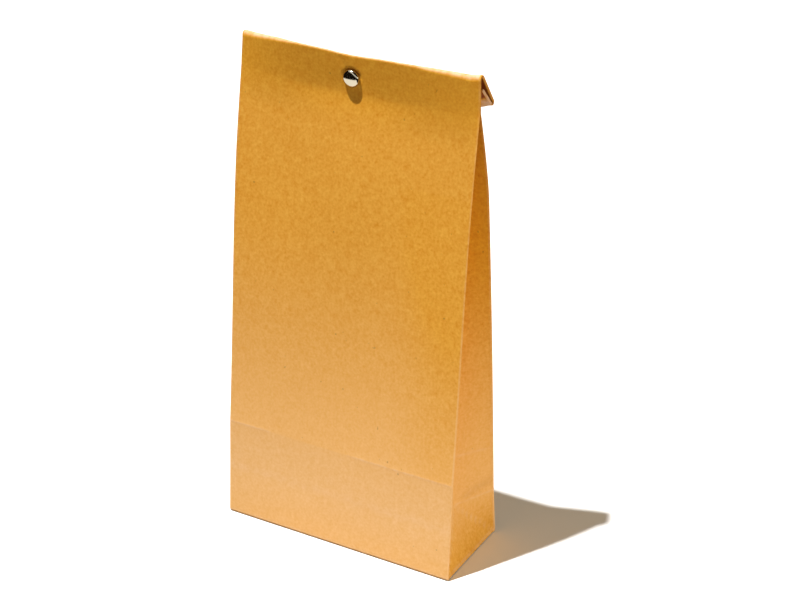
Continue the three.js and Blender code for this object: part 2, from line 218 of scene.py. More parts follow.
# Rows up the tube: the bottom fold and the walls, the shoulders, then the seven stages of the roll
BOTTOM_FOLD_ROWS, SHOULDER_ROWS, ROLL_ROWS = 6, 30, (30, 16, 3, 6, 14, 12, 14)
WALL_STEP, CREASE_STEP, CREASE_REACH = 2.2, 0.3, 1.6
upright_from = FOLDED_EDGE + BOTTOM_FOLD_RADIUS
bottom_rise = BOTTOM_FOLD_RADIUS * (1 - np.cos(np.linspace(0, np.pi / 2, BOTTOM_FOLD_ROWS)))
wall_marks = [upright_from, LOW_CREASE, FRONT_CREASE]
upright = graded(upright_from, REAR_SHOULDER, WALL_STEP, CREASE_STEP, wall_marks, CREASE_REACH)
wall_heights = np.concatenate([FOLDED_EDGE + bottom_rise[:-1], upright])
shoulder_shares = np.linspace(0, 1, SHOULDER_ROWS)[1:]
roll_shares = [np.linspace(0, 1, count + 1)[1:] for count in ROLL_ROWS]
row_starts = np.cumsum([len(wall_heights), len(shoulder_shares), *ROLL_ROWS[:-1]])
shoulder_row, lip_row, crest_row, slope_row, _, _, hem_fold_row, hem_row = row_starts
row_count = hem_row + ROLL_ROWS[-1]
row = np.arange(row_count)[:, None]
in_walls = row < lip_row
before_fold = row < crest_row


def tube(x):
    """Middle line, heading and half thickness of the tube, row by row, at places x (rows by columns)
    across the bag."""
    by_stage = np.split(x, row_starts)
    parts = []
    pinch = between(PINCH_HEIGHT, by_stage[1])
    heights = [wall_heights[:, None] + 0 * by_stage[0],
               REAR_SHOULDER + (pinch - REAR_SHOULDER) * shoulder_shares[:, None]]
    for place, z in zip(by_stage[:2], heights):
        front, rear = front_y(place, z), rear_y(place, z)
        under = np.clip(upright_from - z, 0, BOTTOM_FOLD_RADIUS)
        turned_in = BOTTOM_FOLD_RADIUS - np.sqrt(BOTTOM_FOLD_RADIUS**2 - under**2)
        parts.append(((front + rear) / 2, z, 0 * z, (rear - front) / 2 - turned_in))
    for stage, (place, shares) in enumerate(zip(by_stage[2:], roll_shares)):
        y, z, heading = roll_line(place, stage, shares[:, None])
        parts.append((y, z, heading, half_stack(place)))
    return [np.vstack(column) for column in zip(*parts)]


def on_surface(x, offset):
    """Points at an offset, towards the front panel's side, from the middle line."""
    y, z, heading, _ = tube(x)
    return np.stack([x, y - np.cos(heading) * offset, z + np.sin(heading) * offset], -1)


# Relief of the front panel, outwards. The lip's bend is rounded, and below it the panel is drawn in a
# little beside the fastener. The crease stands up, the gussets' inner folds have printed through, the
# free middle of the panel waves, and the head dents and puckers the paper. Fours are the heights
# between which a form rises and fades.
BEND_ROUND, BEND_SLOPE = (5.0, 2.2), 0.16
NECK_DEPTH, NECK_FROM, NECK_DEEPEST, NECK_PAST_PINCH = 0.9, 90.0, 170.0, 4.0
NECK_BESIDE, NECK_EDGE_POWER = (6.0, 34.0), 24
CREASE_RIDGE, RIDGE_WIDTH, CREASE_GAP, CREASE_FADE = 0.05, 0.5, (-30.0, 3.0), 3.0
PRINT_RIDGE, PRINT_WIDTH, PRINT_INSIDE, PRINT_HEIGHTS = 0.05, 0.45, 0.5, (46.0, 56.0, 122.0, 136.0)
WAVE, WAVE_HEIGHTS = 0.14, (4.0, 30.0, 150.0, 175.0)
WAVE_ACROSS, WAVE_UP, WAVE_PHASES = 17.0, 21.0, (0.9, 0.4)
RIPPLE_SHARE, RIPPLE_ACROSS, RIPPLE_UP = 0.5, 9.0, 33.0
HEAD_DENT, DENT_RADII, DENT_ABOVE = 0.7, (2.8, 4.6), (-2.5, 1.5)
HEAD_PUCKER, PUCKER_WIDTH = 0.1, 0.9
PUCKER_FROM, PUCKER_TO = np.array([-4.6, 7.3]), np.array([-1.8, 3.0])


def plateau(value, start, full, end, gone):
    """0 before start, 1 from full to end and 0 after gone, with smooth steps between."""
    return smoothstep(value, start, full) * (1 - smoothstep(value, end, gone))


def crease_strength(x):
    """The front crease shows at both ends and is smoothed out in the gap between them."""
    return 1 - plateau(x, CREASE_GAP[0] - CREASE_FADE, *CREASE_GAP, CREASE_GAP[1] + CREASE_FADE)


def front_relief(x, z):
    """Sum of the forms above, each a bell, a sine or a smooth step in x and z, for the walls and the
    lip. The pucker is a bell about a straight line."""
    pinch = between(PINCH_HEIGHT, x)
    bend_round = softened(z, pinch, BEND_SLOPE - np.tan(lip_lean(x)), between(BEND_ROUND, x))
    beside = smoothstep(abs(x - FASTENER_X), *NECK_BESIDE) * (1 - (x / HALF_WIDTH) ** NECK_EDGE_POWER)
    neck = NECK_DEPTH * beside * plateau(z, NECK_FROM, NECK_DEEPEST, NECK_DEEPEST, pinch + NECK_PAST_PINCH)
    ridge = CREASE_RIDGE * bell(z - FRONT_CREASE, RIDGE_WIDTH) * crease_strength(x)
    printed = bell(abs(x) - GUSSET_INNER_X + PRINT_INSIDE, PRINT_WIDTH) * plateau(z, *PRINT_HEIGHTS)
    free = (1 - (x / HALF_WIDTH) ** 2) * plateau(z, *WAVE_HEIGHTS)
    wave = np.sin(x / WAVE_ACROSS + WAVE_PHASES[0]) * np.sin(z / WAVE_UP + WAVE_PHASES[1])
    wave = wave + RIPPLE_SHARE * np.sin(x / RIPPLE_ACROSS - z / RIPPLE_UP)
    u, v = x - FASTENER_X, z - FASTENER_HEIGHT
    dent = (1 - smoothstep(np.hypot(u, v), *DENT_RADII)) * smoothstep(v, *DENT_ABOVE)
    way = PUCKER_FROM - PUCKER_TO
    u, v = u - PUCKER_TO[0], v - PUCKER_TO[1]
    share = np.clip((u * way[0] + v * way[1]) / (way @ way), 0, 1)
    pucker = bell(np.hypot(u - share * way[0], v - share * way[1]), PUCKER_WIDTH)
    raised = ridge + PRINT_RIDGE * printed + WAVE * free * wave
    return bend_round - neck + raised - HEAD_DENT * dent - HEAD_PUCKER * pucker


# Front panel: its columns lie close together at the gussets' inner folds and round the fastener's
# head. Steps along a gusset's leaf are shares of the leaf.
EDGE_ROUND = 0.8
PANEL_STEP, HEAD_STEP, HEAD_REACH = 1.6, 0.4, 2.0
HEAD_MARKS = np.array([-8, -5, -2.5, 0, 2.5, 5])
LEAF_STEP, INNER_FOLD_STEP, INNER_FOLD_REACH = 0.05, 0.012, 0.03
leaf_shares = graded(0, 1 - EDGE_ROUND / GUSSET_LEAF, LEAF_STEP, INNER_FOLD_STEP, [0], INNER_FOLD_REACH)
panel_end = GUSSET_INNER_X + GUSSET_LEAF * leaf_shares[1:]
front_marks = [-GUSSET_INNER_X, *(FASTENER_X + HEAD_MARKS), GUSSET_INNER_X]
front_middle = graded(-GUSSET_INNER_X, GUSSET_INNER_X, PANEL_STEP, HEAD_STEP, front_marks, HEAD_REACH)
front_x = np.repeat(np.concatenate([-panel_end[::-1], front_middle, panel_end])[None], row_count, 0)
_, front_z, _, front_half = tube(front_x)
front_panel = on_surface(front_x, front_half + np.where(before_fold, front_relief(front_x, front_z), 0))

# Rear panel: the tube's pasted seam, where the outer edge is one ply high and the hidden one shows as a
# soft step. Both are pressed flat towards the pinch.
SEAM_EDGE, SEAM_WIDTH, SEAM_EASE, SEAM_CUT = 6.0, 12.0, 3.0, 0.05
SEAM_STEP, SEAM_REACH, SEAM_PRESSED = 0.06, 0.4, (170.0, 182.0)
rear_middle = graded(-GUSSET_INNER_X, GUSSET_INNER_X, PANEL_STEP, SEAM_STEP, [SEAM_EDGE], SEAM_REACH,
                     len(front_middle))
rear_x = np.repeat(np.concatenate([-panel_end[::-1], rear_middle, panel_end])[None], row_count, 0)
_, rear_z, _, rear_half = tube(rear_x)
hidden_edge = SEAM_EDGE - SEAM_WIDTH
lap = PLY * plateau(rear_x, hidden_edge - SEAM_EASE, hidden_edge,
                    SEAM_EDGE - SEAM_CUT, SEAM_EDGE + SEAM_CUT)
lap = np.where(before_fold, lap * (1 - smoothstep(rear_z, *SEAM_PRESSED)), 0)
rear_panel = on_surface(rear_x, -rear_half - lap)

# A gusset's two leaves keep their length, so the inner fold goes further in as the walls close. Below
# the low crease the side is one flat triangle that leans in from the bottom edge, and a leaf starts
# where it meets that plane. Places across a gusset are w, from -1 at the front to 1 at the rear.
INNER_FOLD_ROUND, TRIANGLE_ROUND = 0.018, 0.25
NO_TRIANGLE = 10 * GUSSET_LEAF
edge = np.full((row_count, 1), HALF_WIDTH)
_, edge_z, _, edge_half = tube(edge)
crease_half = (rear_y(HALF_WIDTH, LOW_CREASE) - front_y(HALF_WIDTH, LOW_CREASE)) / 2
low_row = in_walls & (edge_z < LOW_CREASE)
open_half = np.where(low_row, crease_half, edge_half)
leaf_depth = np.sqrt(np.maximum(GUSSET_LEAF**2 - open_half**2, BASE_INSET**2))
triangle_lean = np.sqrt(GUSSET_LEAF**2 - crease_half**2) / LOW_CREASE
leaf_w = np.tile(np.concatenate([-leaf_shares[:0:-1], leaf_shares]), (row_count, 1))
rounded_w = np.sqrt(leaf_w**2 + INNER_FOLD_ROUND**2) - INNER_FOLD_ROUND * (1 - abs(leaf_w))
leaf_inset = leaf_depth * (1 - rounded_w)
triangle_inset = np.where(in_walls, triangle_lean * edge_z, NO_TRIANGLE)


def gusset(side):
    """One gusset from front to rear: inset = the lesser of the leaf's depth (1 - |w|) and the
    triangle's lean, with the two planes blended over a rounded crease. The front leaf keeps behind its
    panel."""
    apart = np.hypot(leaf_inset - triangle_inset, TRIANGLE_ROUND)
    inset = np.maximum((leaf_inset + triangle_inset - apart + TRIANGLE_ROUND) / 2, 0)
    x = side * (HALF_WIDTH - inset)
    _, z, _, half = tube(x)
    room = half + np.where(before_fold, front_relief(x, z), 0) - PLY
    return on_surface(x, np.minimum(-leaf_w * (edge_half - FOLDED_EDGE), room))


EDGE_COLUMNS = 6


def folded_edge(panel, leaf, towards, side):
    """Rounded fold from a panel's last column to a leaf's first: a cubic Bezier that just reaches the
    bag's width. towards is 1 at the front panel and -1 at the rear one."""
    outside = np.array([side * EDGE_ROUND / 3, 0, 0])
    outer = on_surface(side * edge, towards * edge_half)[:, 0] + outside
    inner = on_surface(side * edge, towards * (edge_half - FOLDED_EDGE))[:, 0] + outside
    t = np.linspace(0, 1, EDGE_COLUMNS + 2)[1:-1, None, None]
    curve = (1 - t) ** 3 * panel + 3 * (1 - t) ** 2 * t * outer + 3 * (1 - t) * t**2 * inner + t**3 * leaf
    return curve.transpose(1, 0, 2)


# The tube's eight strips, in turn round it: panels, gussets and the four folded edges between them
right, left = gusset(1), gusset(-1)
strips = [
    front_panel,
    folded_edge(front_panel[:, -1], right[:, 0], 1, 1),
    right,
    folded_edge(rear_panel[:, -1], right[:, -1], -1, 1)[:, ::-1],
    rear_panel[:, ::-1],
    folded_edge(rear_panel[:, 0], left[:, -1], -1, -1),
    left[:, ::-1],
    folded_edge(front_panel[:, 0], left[:, 0], 1, -1)[:, ::-1],
]
rings = np.concatenate(strips, 1)
column_count = rings.shape[1]
strip_starts = np.cumsum([0] + [strip.shape[1] for strip in strips])

# The lip's left-hand end is drawn in a little towards the top
LEFT_DRAW, LEFT_DRAW_HEIGHTS, LEFT_DRAW_FROM = 0.6, (184.0, 197.0), 38.0
drawn_share = smoothstep(rings[..., 2], *LEFT_DRAW_HEIGHTS)
rings[..., 0] += LEFT_DRAW * drawn_share * smoothstep(-rings[..., 0], LEFT_DRAW_FROM, HALF_WIDTH)

# Wear of the folds and painted light, a number for the paper's colour: about 1 where a fold is rubbed
# pale, below 0 where shade is painted. On the edges and the crest the pale line is partly a painted
# highlight. A pair is the most wear and the width of the line that it leaves, on a leaf's edge as a share
# of the leaf. The crest is paler away from the fastener. The hem's bend is painted pale as bounce light
# from below, and its front is painted dark in shade from a few rows up.
EDGE_WEAR_AND_HIGHLIGHT, FRONT_CREASE_WEAR = (0.14, 0.4), (0.4, 0.4)
REAR_CREASE_WEAR, BOTTOM_WEAR = (0.4, 0.5), (0.3, 0.5)
LOW_FRONT_WEAR, LOW_FRONT_ABOVE = (0.12, 1.6), 1.0
CREST_WEAR_AND_HIGHLIGHT, CREST_SPARED = 1.1, 0.3
HEM_SHADE_ROWS = (3, 7)


def fold_line(distance, line):
    """Mark at a distance from a fold, for wear, painted highlights and painted shade: the most times a bell
    of the line's width.
    """
    most, width = line
    return most * bell(distance, width)


strip = np.repeat(np.arange(len(strips)), np.diff(strip_starts))
on_front, on_rear, on_edge, on_side = strip == 0, strip == 4, strip % 2 == 1, strip % 4 == 2
across, height = rings[..., 0], rings[..., 2]
crest = np.sin(np.pi * np.clip((row - crest_row) / (slope_row - crest_row), 0, 1))
up_hem = smoothstep(row, *(hem_row + np.array(HEM_SHADE_ROWS)))
hem_edge = smoothstep(row, hem_fold_row, hem_row)
panel_edge = fold_line(HALF_WIDTH - abs(across), EDGE_WEAR_AND_HIGHLIGHT) * (on_front | on_rear)
wear_and_painted_light = np.maximum.reduce([
    np.where(on_edge, EDGE_WEAR_AND_HIGHLIGHT[0], panel_edge),
    fold_line(height - FRONT_CREASE, FRONT_CREASE_WEAR) * crease_strength(across) * on_front * in_walls,
    fold_line(height - LOW_CREASE - LOW_FRONT_ABOVE, LOW_FRONT_WEAR) * on_front * in_walls,
    fold_line(height - LOW_CREASE, REAR_CREASE_WEAR) * on_rear * in_walls,
    fold_line(height - upright_from, BOTTOM_WEAR) * in_walls,
    # The crest's pale line is wear and partly a painted highlight
    CREST_WEAR_AND_HIGHLIGHT * crest * (1 - CREST_SPARED * grip(across)) * on_front,
    # The hem's bend is painted pale as bounce light from below
    hem_edge * np.where(on_edge, 1, (1 - up_hem) * on_front),
])

# Wear and painted light of a gusset's leaves: their edges, partly a painted highlight, the triangle's
# crease, lines that run on from the walls' creases behind the inner fold, a slanting line before it, and
# painted shade in a soft valley that rises to the rear
LEAF_EDGE_WEAR_AND_HIGHLIGHT, TRIANGLE_WEAR, LEAF_BOTTOM_WEAR = (0.2, 0.02), (0.3, 0.3), (0.3, 0.6)
LOW_LEAF_WEAR, UPPER_LEAF_WEAR, BEHIND_FOLD = (0.3, 0.45), (0.25, 0.5), 0.1
SLANT_WEAR, SLANT_COSINE = (0.3, 0.4), 0.7
VALLEY_SHADE, VALLEY_ABOVE, VALLEY_RISE, VALLEY_FROM = (0.14, 1.8), 1.0, 4.5, (0.1, 0.4)
behind = np.clip(leaf_w, 0, 1)
leaf_z = np.where(in_walls, edge_z, CLOSED_HEIGHT) + 0 * leaf_w
slant_z = LOW_CREASE * (1 - leaf_w)
valley_z = LOW_CREASE + VALLEY_ABOVE + VALLEY_RISE * behind
leaf_wear_and_shade = np.maximum.reduce([
    fold_line(1 - abs(leaf_w), LEAF_EDGE_WEAR_AND_HIGHLIGHT),
    fold_line(leaf_inset - triangle_inset, TRIANGLE_WEAR) * low_row,
    fold_line(leaf_z - LOW_CREASE, LOW_LEAF_WEAR) * smoothstep(leaf_w, 0, BEHIND_FOLD),
    fold_line((leaf_z - slant_z) * SLANT_COSINE, SLANT_WEAR) * (leaf_w < 0),
    fold_line(leaf_z - FRONT_CREASE, UPPER_LEAF_WEAR) * (leaf_w > BEHIND_FOLD),
    fold_line(leaf_z - upright_from, LEAF_BOTTOM_WEAR),
])
# Painted shade in a soft valley on the leaves, rising to the rear
leaf_wear_and_shade = leaf_wear_and_shade - fold_line(leaf_z - valley_z, VALLEY_SHADE) * smoothstep(behind, *VALLEY_FROM)
wear_and_painted_light[:, strip == 2] = leaf_wear_and_shade
wear_and_painted_light[:, strip == 6] = leaf_wear_and_shade[:, ::-1]

# Painted shade inside the roll, where no light comes: between its layers, in the folded gussets, on the
# hem's front from a few rows up and at the crest's ends on the folded edges
CREST_END_SHADE = 0.3
in_roll = smoothstep(row, lip_row, crest_row)
crest_end = crest * ((row >= crest_row) & (row < slope_row)) * on_edge
wear_and_painted_light = wear_and_painted_light - np.where(on_rear | on_side, in_roll, up_hem * on_front) - CREST_END_SHADE * crest_end

# Paleness, 0 to 1, painted light: the paper is painted paler towards the bottom as bounce light from the
# floor, more so below the front crease and less on the sides, at the very bottom and at the front's
# right-hand edge. Painted shade makes it deepest on the lip and high on the sides.
PALE_LIGHT_BELOW, PANEL_PALE_LIGHT, SIDE_PALE_LIGHT, SIDE_PALE_RISE = 140.0, 0.85, 0.65, (-2.0, 26.0)
BELOW_CREASE_PALE_LIGHT, CREASE_BLUR = 0.15, 0.4
PALE_HELD_BACK, BOTTOM_HELD_BACK_TO, RIGHT_HELD_BACK_FROM, LEAST_PALE = 0.22, (2.0, 24.0), (18.0, 46.0), -0.03
PLAIN, LIP_SHADE, LIP_SHADE_FROM = 0.15, 0.1, (166.0, 188.0)
SIDE_SHADE, SIDE_SHADE_FROM = 0.15, (40.0, 130.0)
FLAP_PALENESS = 0.66
below_crease = smoothstep(FRONT_CREASE - height, -CREASE_BLUR, CREASE_BLUR) * on_front
most_painted_pale = np.where(on_side, SIDE_PALE_LIGHT * smoothstep(height, *SIDE_PALE_RISE), PANEL_PALE_LIGHT)
painted_paleness = (1 - smoothstep(height, 0, PALE_LIGHT_BELOW)) * most_painted_pale + BELOW_CREASE_PALE_LIGHT * below_crease
at_right = smoothstep(across, *RIGHT_HELD_BACK_FROM) * (1 - below_crease)
painted_paleness = painted_paleness - PALE_HELD_BACK * np.maximum(1 - smoothstep(height, *BOTTOM_HELD_BACK_TO), at_right) * on_front
painted_paleness = PLAIN + (1 - PLAIN) * np.where(row < shoulder_row, np.maximum(painted_paleness, LEAST_PALE), 0)
painted_deep_shade = np.where(on_side, SIDE_SHADE * smoothstep(height, *SIDE_SHADE_FROM),
                 LIP_SHADE * smoothstep(height, *LIP_SHADE_FROM))
painted_paleness = painted_paleness - painted_deep_shade * before_fold


def ring_faces(rows, columns):
    """Quads of a closed tube: each point with its right-hand neighbour, round to the start, and the row
    above."""
    low = np.arange((rows - 1) * columns).reshape(-1, columns)
    right_hand = np.roll(low, -1, 1)
    return np.stack([low, right_hand, right_hand + columns, low + columns], -1).reshape(-1, 4)


def end_faces(ring):
    """Faces that close a ring: strips between each panel and its leaf, a strip between the panels and a
    small face in every folded edge and at every inner fold."""
    first = ring * column_count
    front, edge_fr, leaf_r, edge_rr, rear, edge_rl, leaf_l, edge_fl = [
        first + np.arange(a, b) for a, b in zip(strip_starts, strip_starts[1:])]
    rear = rear[::-1]
    leaf_l = leaf_l[::-1]
    n = len(leaf_shares) - 1
    m = len(front) - 1 - n
    faces = []
    for panel, leaf, flip in ((front[m:], leaf_r[n::-1], 0), (rear[m:], leaf_r[n:], 1),
                              (front[n::-1], leaf_l[n::-1], 1), (rear[n::-1], leaf_l[n:], 0)):
        quads = np.stack([panel[:-1], panel[1:], leaf[1:], leaf[:-1]], -1)
        faces += (quads[:, ::-1] if flip else quads).tolist()
    faces += np.stack([front[n:m], front[n + 1:m + 1], rear[n + 1:m + 1], rear[n:m]], -1).tolist()
    faces += [[front[m], leaf_r[n], rear[m]], [front[n], rear[n], leaf_l[n]]]
    faces.append([front[-1], *edge_fr, leaf_r[0]])
    faces.append([leaf_r[-1], *edge_rr, rear[-1]])
    faces.append([rear[0], *edge_rl, leaf_l[-1]])
    faces.append([leaf_l[0], *edge_fl, front[0]])
    return [[int(i) for i in face] for face in faces]


def add_piece(name, points, faces, flat_from=None):
    """A mesh object at the origin from points in millimetres and faces, smooth up to face number
    flat_from."""
    mesh = bpy.data.meshes.new(name)
    mesh.from_pydata((points * MM).tolist(), [], faces)
    smooth = np.arange(len(mesh.polygons)) < (len(faces) if flat_from is None else flat_from)
    mesh.polygons.foreach_set("use_smooth", smooth)
    piece = bpy.data.objects.new(name, mesh)
    bpy.context.scene.collection.objects.link(piece)
    return piece


# Block bottom: the front flap, and the rear flap pasted over it, which steps down over the front flap's
# cut edge
BOTTOM_FLAP, FLAP_SINK = 28.0, 0.01
FLAP_FOLD_Y = HALF_DEPTH - BASE_INSET - PLY
FLAP_WIDTH = HALF_WIDTH - BASE_INSET - PLY
FLAP_STEP = 2 * FLAP_FOLD_Y - BOTTOM_FLAP
STEP_BEFORE, STEP_AFTER = 0.8, 0.1


def bottom_flap(places, lows):
    """Corners and faces of a bottom flap: a ply carried along the bag's depth, with sides that run in
    at 45 degrees. places are distances from the flap's fold and lows its heights there; the ply's top
    is sunk a hair into what it is pasted to."""
    half = FLAP_WIDTH - np.asarray(places)
    low, high = np.asarray(lows), np.asarray(lows) + PLY + FLAP_SINK
    y = np.asarray(places) - FLAP_FOLD_Y
    rows = np.stack([[-half, y, low], [half, y, low], [half, y, high], [-half, y, high]]).transpose(2, 0, 1)
    last = 4 * len(places) - 4
    faces = ring_faces(len(places), 4).tolist() + [[3, 2, 1, 0], [last, last + 1, last + 2, last + 3]]
    return rows.reshape(-1, 3), faces


front_flap, flap_faces = bottom_flap([0, BOTTOM_FLAP], [PLY, PLY])
rear_places = [0, FLAP_STEP - STEP_BEFORE, FLAP_STEP + STEP_AFTER, BOTTOM_FLAP]
rear_flap, rear_faces = bottom_flap(rear_places, [PLY, PLY, 0, 0])
rear_flap = rear_flap * [-1, -1, 1]

wall_faces = ring_faces(row_count, column_count).tolist()
bottom_faces = [face[::-1] for face in end_faces(0)]
mouth_faces = end_faces(row_count - 1)
points = rings.reshape(-1, 3)
flap_faces = [[i + len(points) for i in face] for face in flap_faces]
flap_faces += [[i + len(points) + len(front_flap) for i in face] for face in rear_faces]
bag = add_piece("bag_paper", np.vstack([points, front_flap, rear_flap]),
                wall_faces + bottom_faces + mouth_faces + flap_faces, len(wall_faces))
# Marks for wear with painted highlights and shade, and the painted paleness of bounce light and shade
for name, values, on_flaps in (("wear_and_painted_light", wear_and_painted_light, 0.0), ("painted_paleness", painted_paleness, FLAP_PALENESS)):
    layer = bag.data.attributes.new(name, "FLOAT", "POINT")
    flap_values = np.full(len(front_flap) + len(rear_flap), on_flaps)
    layer.data.foreach_set("value", np.append(values.ravel(), flap_values))
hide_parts("paper_bag")
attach(bag, "root")


def linear(hex_colour):
    """An sRGB hex colour as linear red, green, blue and alpha."""
    srgb = np.array([int(hex_colour[i:i + 2], 16) for i in (1, 3, 5)]) / 255
    return [*np.where(srgb <= 0.04045, srgb / 12.92, ((srgb + 0.055) / 1.055) ** 2.4), 1]


def add_node(tree, kind, links=(), **settings):
    """A node of that kind: settings are its properties, or values of inputs by index or name as in_0;
    links are pairs of an input and the output that feeds it."""
    node = tree.nodes.new(kind)
    for name, value in settings.items():
        if name.startswith("in_"):
            key = name[3:]
            node.inputs[int(key) if key.isdigit() else key.replace("_", " ")].default_value = value
        else:
            setattr(node, name, value)
    for socket, source in links:
        tree.links.new(source, node.inputs[socket])
    return node


# Unbleached kraft paper: a matt honey brown, painted paler where bounce light falls. The pulp mottles it
# at about 2.5 and 1 mm, which changes how pale it is more than how bright, and less where it is painted
# pale. Faint fibres run up the bag, with a few dark specks. Worn folds are pale, on the edges and the
# crest partly as a painted highlight, and painted shade is reddish brown.
KRAFT_FRESH, KRAFT_PAINTED_PALE, KRAFT_WORN_AND_HIGHLIT, KRAFT_PAINTED_SHADE = "#e39d1c", "#eebb7c", "#eec6a0", "#984808"
PULP_SIZE, GRAIN_SIZE, FIBRE_WIDTH, FIBRE_LENGTH, SPECK_SIZE = 2.5, 1.0, 10 / 13, 10 / 3.2, 10 / 6.2
PULP_SHARE, FIBRE_SHARE, MOTTLE_MIDDLE, MOTTLE_SPREAD = 0.5, 0.35, 0.925, 0.4
MOTTLE_PLAIN, MOTTLE_PALE, MOTTLE_PALE_AT = 0.28, 0.115, 0.57
MOTTLE_TINT = (0.45, 1.0, 2.6)
SPECK_FROM, SPECK_FULL, SPECK_SHADE = 0.85, 0.90, 0.7
PATCH_FROM, PATCH_FULL, PATCH_LEAST = 0.3, 0.6, 0.35
TOOTH, TOOTH_STRENGTH = 0.08, 0.25
kraft = bpy.data.materials.new("kraft_paper")
kraft.use_nodes = True
tree = kraft.node_tree
shader = tree.nodes["Principled BSDF"]
place = add_node(tree, "ShaderNodeTexCoord").outputs["Object"]
paleness = add_node(tree, "ShaderNodeAttribute", attribute_name="painted_paleness").outputs["Fac"]
# Painted light: paler where bounce light is painted on, deeper where shade is painted
body = add_node(tree, "ShaderNodeMix", data_type="RGBA", links=[(0, paleness)],
                in_6=linear(KRAFT_FRESH), in_7=linear(KRAFT_PAINTED_PALE))
pulp = add_node(tree, "ShaderNodeTexNoise", links=[("Vector", place)],
                in_Scale=1 / (PULP_SIZE * MM), in_Detail=2.0)
grain = add_node(tree, "ShaderNodeTexNoise", links=[("Vector", place)],
                 in_Scale=1 / (GRAIN_SIZE * MM), in_Detail=2.0)
fibres = 1 / (np.array([FIBRE_WIDTH, FIBRE_WIDTH, FIBRE_LENGTH]) * MM)
along = add_node(tree, "ShaderNodeVectorMath", operation="MULTIPLY", links=[(0, place)], in_1=fibres)
fibre = add_node(tree, "ShaderNodeTexNoise", links=[("Vector", along.outputs[0])],
                 in_Scale=1.0, in_Detail=2.0)
mottle = add_node(tree, "ShaderNodeMath", operation="MULTIPLY_ADD", in_1=PULP_SHARE,
                  links=[(0, pulp.outputs[0]), (2, grain.outputs[0])])
mottle = add_node(tree, "ShaderNodeMath", operation="MULTIPLY_ADD", in_1=FIBRE_SHARE,
                  links=[(0, fibre.outputs[0]), (2, mottle.outputs[0])])
contrast = add_node(tree, "ShaderNodeMapRange", links=[("Value", paleness)],
                    in_From_Min=PLAIN, in_From_Max=MOTTLE_PALE_AT,
                    in_To_Min=MOTTLE_PLAIN, in_To_Max=MOTTLE_PALE)
level = add_node(tree, "ShaderNodeMapRange", links=[("Value", mottle.outputs[0])],
                 in_From_Min=MOTTLE_MIDDLE - MOTTLE_SPREAD, in_From_Max=MOTTLE_MIDDLE + MOTTLE_SPREAD,
                 in_To_Min=-1.0, in_To_Max=1.0)
level = add_node(tree, "ShaderNodeMath", operation="MULTIPLY",
                 links=[(0, level.outputs[0]), (1, contrast.outputs[0])])
tint = add_node(tree, "ShaderNodeVectorMath", operation="SCALE", in_0=MOTTLE_TINT,
                links=[("Scale", level.outputs[0])])
mottled = add_node(tree, "ShaderNodeVectorMath", operation="MULTIPLY_ADD",
                   links=[(0, body.outputs[2]), (1, tint.outputs[0]), (2, body.outputs[2])])
speck = add_node(tree, "ShaderNodeTexNoise", links=[("Vector", place)],
                 in_Scale=1 / (SPECK_SIZE * MM), in_Detail=0.0)
speck = add_node(tree, "ShaderNodeMapRange", links=[("Value", speck.outputs[0])],
                 in_From_Min=SPECK_FROM, in_From_Max=SPECK_FULL, in_To_Min=1.0, in_To_Max=SPECK_SHADE)
mottled = add_node(tree, "ShaderNodeVectorMath", operation="SCALE",
                   links=[(0, mottled.outputs[0]), ("Scale", speck.outputs[0])])
wear_and_light_mark = add_node(tree, "ShaderNodeAttribute", attribute_name="wear_and_painted_light").outputs["Fac"]
patchy = add_node(tree, "ShaderNodeMapRange", links=[("Value", pulp.outputs[0])],
                  in_From_Min=PATCH_FROM, in_From_Max=PATCH_FULL, in_To_Min=PATCH_LEAST, in_To_Max=1.0)
pale = add_node(tree, "ShaderNodeMath", operation="MULTIPLY", use_clamp=True,
                links=[(0, wear_and_light_mark), (1, patchy.outputs[0])])
# Pale folds: wear, and on the edges and the crest partly a painted highlight
paper = add_node(tree, "ShaderNodeMix", data_type="RGBA", in_7=linear(KRAFT_WORN_AND_HIGHLIT),
                 links=[(0, pale.outputs[0]), (6, mottled.outputs[0])])
# Painted shade, reddish brown, where the mark falls below 0
painted_shade = add_node(tree, "ShaderNodeMath", operation="MULTIPLY", use_clamp=True, in_1=-1.0,
                  links=[(0, wear_and_light_mark)])
paper = add_node(tree, "ShaderNodeMix", data_type="RGBA", in_7=linear(KRAFT_PAINTED_SHADE),
                 links=[(0, painted_shade.outputs[0]), (6, paper.outputs[2])])
tree.links.new(paper.outputs[2], shader.inputs["Base Color"])
tooth = add_node(tree, "ShaderNodeBump", links=[("Height", mottle.outputs[0])],
                 in_Strength=TOOTH_STRENGTH, in_Distance=TOOTH * MM)
tree.links.new(tooth.outputs[0], shader.inputs["Normal"])
shader.inputs["Roughness"].default_value = 0.8
shader.inputs["Specular IOR Level"].default_value = 0.25
bag.data.materials.append(kraft)

# Fastener
# A round-head paper fastener of nickel-plated steel: a spun dome over a flat strip whose two legs go
# through the paper and are spread behind the flap. Its own axes stand square to the lip, with Y to the
# rear from the lip's front face.
CAP_RADIUS, CAP_TOP, CAP_RIM, RIM_ROUND, CAP_SUNK = 3.45, 2.3, 0.35, 0.25, 0.05
pinned_lean = lip_lean(FASTENER_X)
above_pinch = FASTENER_HEIGHT - between(PINCH_HEIGHT, FASTENER_X)
lip_middle = pinch_y(FASTENER_X) + above_pinch * np.tan(pinned_lean)
lip_face = lip_middle - half_stack(FASTENER_X) / np.cos(pinned_lean)


def on_lip(points):
    """Points in the fastener's own axes, turned by the lip's lean and set at its place on the lip."""
    x, y, z = np.moveaxis(points, -1, 0)
    back = y * np.cos(pinned_lean) + z * np.sin(pinned_lean)
    up = z * np.cos(pinned_lean) - y * np.sin(pinned_lean)
    return np.stack([x + FASTENER_X, back + lip_face, up + FASTENER_HEIGHT], -1).reshape(-1, 3)


